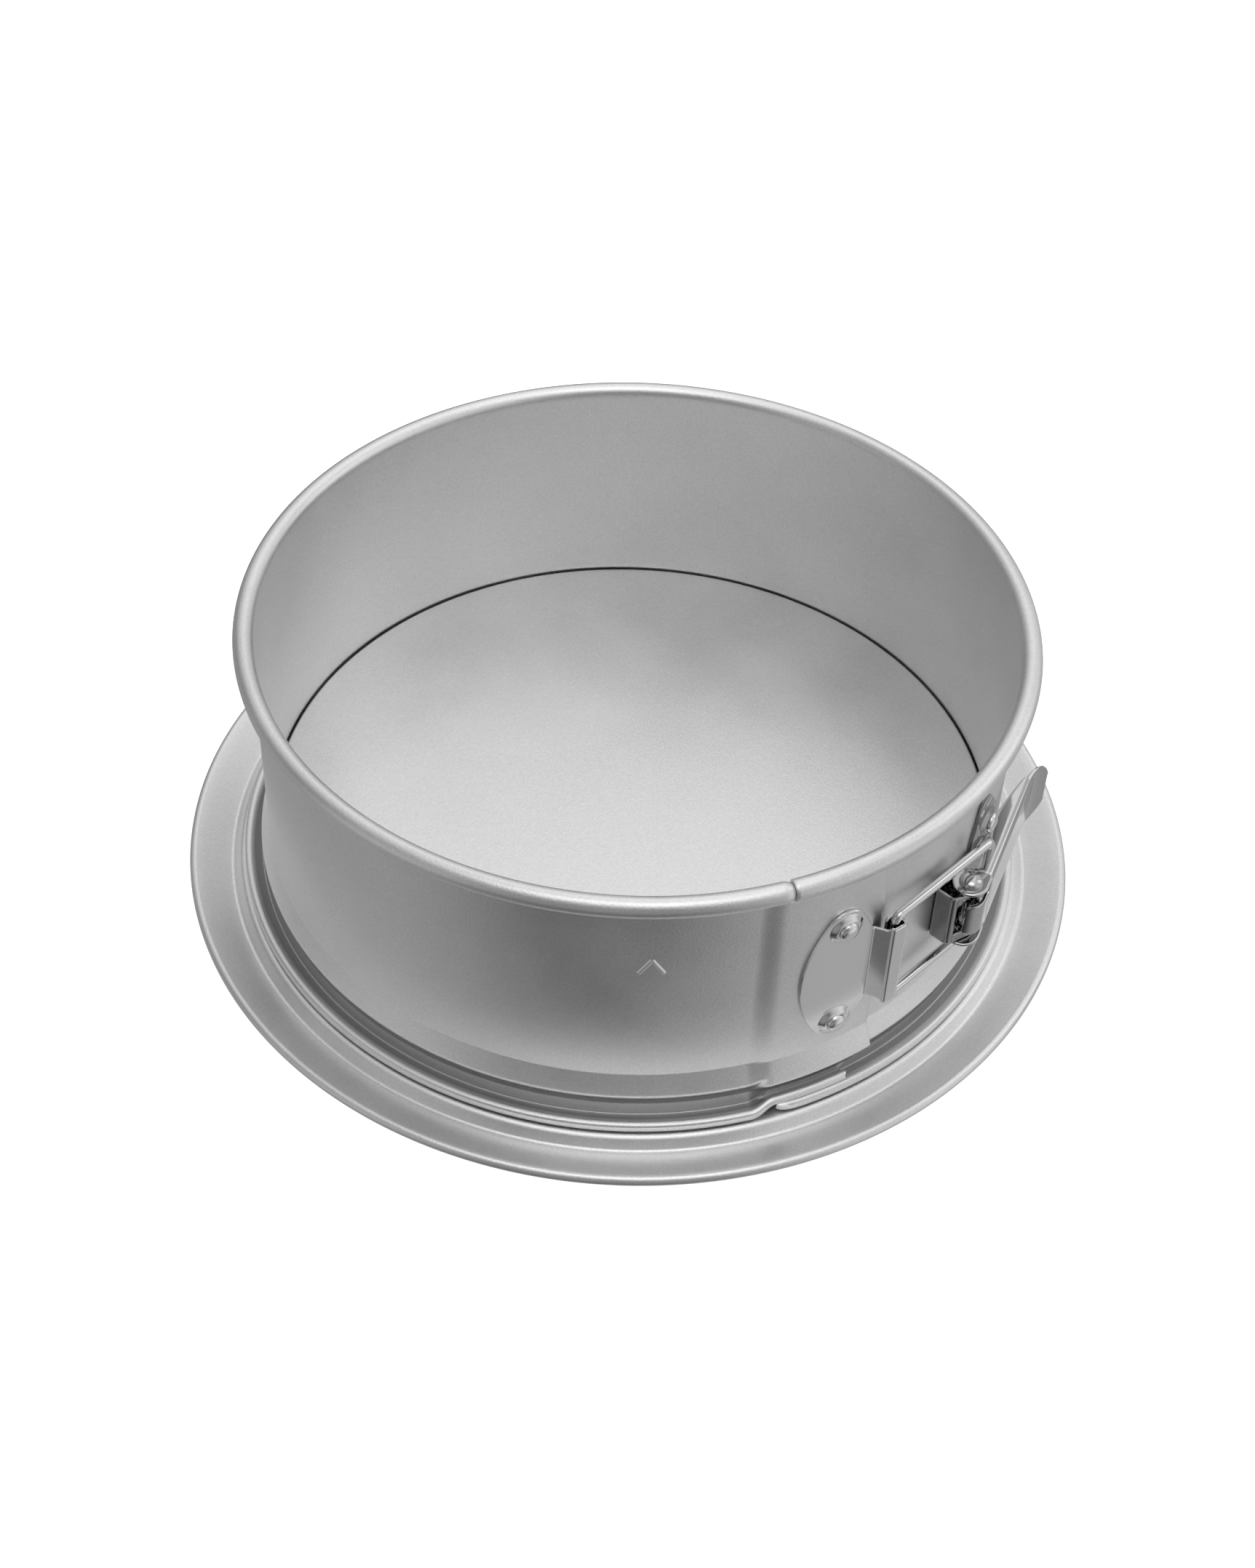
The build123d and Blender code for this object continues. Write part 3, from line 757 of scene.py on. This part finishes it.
# ---------------------------------------------------------------- wire link
LINK_HALF = 17.3
HOOK_TIP = 8.3
reach = np.linalg.norm(HOOK_PIVOT - LINK_PIVOT)
heading = (HOOK_PIVOT - LINK_PIVOT) / reach
route = rounded(
    [
        (reach, HOOK_TIP), (reach, LINK_HALF), (0, LINK_HALF),
        (0, -LINK_HALF), (reach, -LINK_HALF), (reach, -HOOK_TIP),
    ],
    [2.2] * 4,
    1.5,
)
shell = Shell()
shell.tube([(*(LINK_PIVOT + heading * a), LATCH_Z + b) for a, b in route], 1.4)
finish(shell.done("wire_link_loop"), wire_steel, "link", "wire_steel", "wire_link")

# ---------------------------------------------------------------- lever
LEVER_T = 1.1
WEB_B = 5.3 - LEVER_T / 2
FLANGE_Z = 11.0 - LEVER_T / 2
forward = np.array((cos(radians(LEVER_ANGLE)), sin(radians(LEVER_ANGLE))))
outward = np.array((cos(radians(LEVER_ANGLE - 90)), sin(radians(LEVER_ANGLE - 90))))


def lever_point(s, b, z):
    """A point of the lever: along it from its pivot, outwards from its pivot, and up."""
    x, y = LEVER_PIVOT + forward * s + outward * b
    return (x, y, LATCH_Z + z)


# where the flanges end, as (along the lever, outwards)
FREE_EDGE = [
    (-6, -5.3), (0, -5.3), (10, -2.9), (28, -0.53), (32.5, -0.13),
    (39.3, 1.12), (46.9, 2.77), (51, 3.9), (54, 4.75), (60, 4.75),
]
FLARE_START, FLARE_R, FLARE_SWEEP = 50.0, 14.0, 40.0
BEND = 1.5


def web_place(s):
    """Where the web's middle is at a distance along it, and its turn there, in radians."""
    if s <= FLARE_START:
        return s, WEB_B, 0.0
    turn = min((s - FLARE_START) / FLARE_R, radians(FLARE_SWEEP))
    return FLARE_START + FLARE_R * sin(turn), WEB_B + FLARE_R * (1 - cos(turn)), turn


NOTCH = 4.7
TIP_S = FLARE_START + FLARE_R * radians(FLARE_SWEEP)
stations = np.concatenate([np.linspace(NOTCH + 0.2, 46, 30), np.linspace(46, TIP_S - 0.2, 34)[1:]])
rows = []
for s in stations:
    ps, pb, turn = web_place(s)
    depth = max(WEB_B - np.interp(s, *zip(*FREE_EDGE)), 0.0)
    bend = min(BEND, max(depth, 0.02))
    half = FLANGE_Z
    left = TIP_S - s
    if left < 7.0:
        half = FLANGE_Z - 7.0 + sqrt(max(49.0 - (7.0 - left) ** 2, 0.0))
    section = []
    for k in range(7):
        section.append((-depth + (depth - bend) * k / 6, half))
    for k in range(1, 7):
        a = radians(90 * k / 6)
        section.append((-bend + bend * sin(a), half - bend + bend * cos(a)))
    inner = half - bend
    for k in range(1, 12):
        section.append((0.0, inner - 2 * inner * k / 12))
    section = section + [(d, -z) for d, z in section[:13][::-1]]
    row = []
    for d, z in section:
        row.append(lever_point(ps - d * sin(turn), pb + d * cos(turn), z))
    rows.append(row)
shell = Shell()
shell.sheet(rows, LEVER_T, edge=0.7)

tongue = [(s, WEB_B) for s in np.linspace(NOTCH + 0.9, 0.0, 14)]
for a in np.linspace(0, 82, 24)[1:]:
    tongue.append((-WEB_B * sin(radians(a)), WEB_B * cos(radians(a))))
rows = []
for n, (s, b) in enumerate(tongue):
    half = 5.7 + 3.9 * (1 - step((NOTCH + 0.9 - s) / 3.4)) if s > 0 else 5.7
    left = (len(tongue) - 1 - n) * 0.3
    if left < 1.5:
        half = 5.7 - 1.5 + sqrt(max(2.25 - (1.5 - left) ** 2, 0.0))
    rows.append([lever_point(s, b, z) for z in np.linspace(half, -half, 15)])
shell.sheet(rows, LEVER_T, edge=0.7)

edge_start = np.interp(NOTCH, *zip(*FREE_EDGE))
ear = [(NOTCH + 0.5, edge_start)] + [(0.6, -5.22)]
ear += [(-5.2 * sin(radians(a)), -5.2 * cos(radians(a))) for a in np.linspace(0, 180, 37)]
ear += [(NOTCH - 0.3, 5.2), (NOTCH + 0.1, 4.9), (NOTCH + 0.5, 4.2)]
ear = rounded(ear, [0.05] * (len(ear) - 2), 0.5)
ear_centre = np.array((0.5, 0.0))
for side in (-1, 1):
    rows = []
    for t in np.linspace(0.04, 0.955, 16):
        ring = [ear_centre + (np.array(p) - ear_centre) * t for p in ear]
        rows.append([lever_point(*p, side * FLANGE_Z) for p in ring])
    shell.sheet(rows, LEVER_T, ring=True, pole=True, flip=side < 0, edge=0.7)
finish(shell.done("lever_pressing"), bright_steel, "lever", "latch_steel", "lever")

# ---------------------------------------------------------------- stage
FLOOR_HALF, FLOOR_SPANS, FLOOR_Z = 4000.0, 8, -0.02
across_floor = FLOOR_SPANS + 1
grid_line = np.linspace(-FLOOR_HALF, FLOOR_HALF, across_floor)
floor_points = [(x, y, FLOOR_Z) for y in grid_line for x in grid_line]
floor_faces = []
for j in range(FLOOR_SPANS):
    for i in range(FLOOR_SPANS):
        near, far = j * across_floor + i, (j + 1) * across_floor + i
        floor_faces.append((near, near + 1, far + 1, far))
floor = new_object("studio_floor", floor_points, floor_faces)
pale, _, bsdf, _ = shader("pale_floor")
bsdf.inputs["Base Color"].default_value = (0.9, 0.9, 0.9, 1)
bsdf.inputs["Roughness"].default_value = 0.9
bsdf.inputs["Specular IOR Level"].default_value = 0.0
bsdf.inputs["Emission Color"].default_value = (1, 1, 1, 1)
bsdf.inputs["Emission Strength"].default_value = 0.8
floor.data.materials.append(pale)
floor.visible_glossy = False

# a white surround that only the camera sees, past the floor, in low views
BACKDROP_RADIUS, BACKDROP_TOP = 3800.0, 4000.0
ring_azimuths = np.linspace(0, 360, 73)[:-1]
backdrop_points = [
    polar(BACKDROP_RADIUS, a, z) for z in (FLOOR_Z, BACKDROP_TOP) for a in ring_azimuths
]
sides = len(ring_azimuths)
backdrop_faces = [(k, (k + 1) % sides, sides + (k + 1) % sides, sides + k) for k in range(sides)]
backdrop = new_object("studio_backdrop", backdrop_points, backdrop_faces)
white, _, bsdf, _ = shader("white_backdrop")
bsdf.inputs["Base Color"].default_value = (0, 0, 0, 1)
bsdf.inputs["Roughness"].default_value = 1.0
bsdf.inputs["Specular IOR Level"].default_value = 0.0
bsdf.inputs["Emission Color"].default_value = (1, 1, 1, 1)
bsdf.inputs["Emission Strength"].default_value = 1.0
backdrop.data.materials.append(white)
for kind in ("glossy", "diffuse", "shadow", "transmission", "volume_scatter"):
    setattr(backdrop, f"visible_{kind}", False)

CAMERA_AT = Vector((-0.3979, -0.3583, 0.5466))
CAMERA_TO = Vector((-0.000857, 0.000951, 0.02413))
CAMERA_ROLL = 0.0432
sight = (CAMERA_TO - CAMERA_AT).normalized()
right = sight.cross(Vector((0, 0, 1))).normalized()
up = right.cross(sight)
camera_x = right * cos(CAMERA_ROLL) + up * sin(CAMERA_ROLL)
camera_y = -right * sin(CAMERA_ROLL) + up * cos(CAMERA_ROLL)
turned = Matrix((camera_x, camera_y, -sight)).transposed().to_4x4()
lens = bpy.data.cameras.new("camera")
lens.lens = 53.66
lens.sensor_width = 36.0
lens.sensor_fit = "AUTO"
lens.clip_start = 0.01
camera = bpy.data.objects.new("camera", lens)
camera.matrix_world = Matrix.Translation(CAMERA_AT) @ turned
bpy.context.scene.collection.objects.link(camera)
bpy.context.scene.camera = camera


def studio(tree, base, lobes):
    """Soft light from all round the room: an even base and wide soft lights in given directions."""
    nodes = tree.nodes
    nodes.clear()
    place = nodes.new("ShaderNodeTexCoord")
    out = nodes.new("ShaderNodeOutputWorld")
    background = nodes.new("ShaderNodeBackground")
    total = None
    for azimuth, height, width, soft, strength in lobes:
        a, h = radians(azimuth), radians(height)
        dot = nodes.new("ShaderNodeVectorMath")
        dot.operation = "DOT_PRODUCT"
        dot.inputs[1].default_value = (sin(a) * cos(h), -cos(a) * cos(h), sin(h))
        tree.links.new(place.outputs["Generated"], dot.inputs[0])
        spread = nodes.new("ShaderNodeMapRange")
        spread.interpolation_type = "SMOOTHSTEP"
        spread.inputs["From Min"].default_value = cos(radians(min(width + soft, 179)))
        spread.inputs["From Max"].default_value = cos(radians(max(width - soft, 1)))
        spread.inputs["To Min"].default_value = 0.0
        spread.inputs["To Max"].default_value = strength
        tree.links.new(dot.outputs["Value"], spread.inputs["Value"])
        plus = nodes.new("ShaderNodeMath")
        plus.operation = "ADD"
        tree.links.new(spread.outputs["Result"], plus.inputs[0])
        if total is None:
            plus.inputs[1].default_value = base
        else:
            tree.links.new(total, plus.inputs[1])
        total = plus.outputs[0]
    tree.links.new(total, background.inputs["Strength"])
    background.inputs["Color"].default_value = (1, 1, 1, 1)
    tree.links.new(background.outputs["Background"], out.inputs["Surface"])


world = bpy.data.worlds.new("studio")
bpy.context.scene.world = world
world.use_nodes = True
# azimuth, height, half width and softness in degrees, then strength
studio(world.node_tree, 0.035, [
    (80, 80, 70, 20, 0.36),
    (125, 45, 42, 22, 0.30),
    (15, 58, 28, 14, 0.26),
    (-48, 74, 18, 10, 1.15),
    (-100, 5, 22, 14, 0.34),
    (-48, -8, 22, 12, 0.24),
    (10, 0, 28, 14, 0.40),
    (60, -38, 55, 22, 0.40),
    (-150, -35, 45, 30, 0.30),
])


def softbox(name, azimuth, height, distance, size, power):
    """A square area light that faces the pan."""
    data = bpy.data.lights.new(name, "AREA")
    data.shape = "RECTANGLE"
    data.size, data.size_y = size
    data.energy = power
    made = bpy.data.objects.new(name, data)
    at = Vector(polar(distance * cos(radians(height)), azimuth, distance * sin(radians(height))))
    made.matrix_world = Matrix.Translation(at) @ (-at).to_track_quat("-Z", "Y").to_matrix().to_4x4()
    bpy.context.scene.collection.objects.link(made)


softbox("softbox_back", 120, 60, 1.3, (0.9, 0.7), 0.8)
softbox("softbox_side", 55, 30, 1.2, (0.5, 0.8), 0.8)
bpy.context.scene.view_settings.view_transform = "Standard"
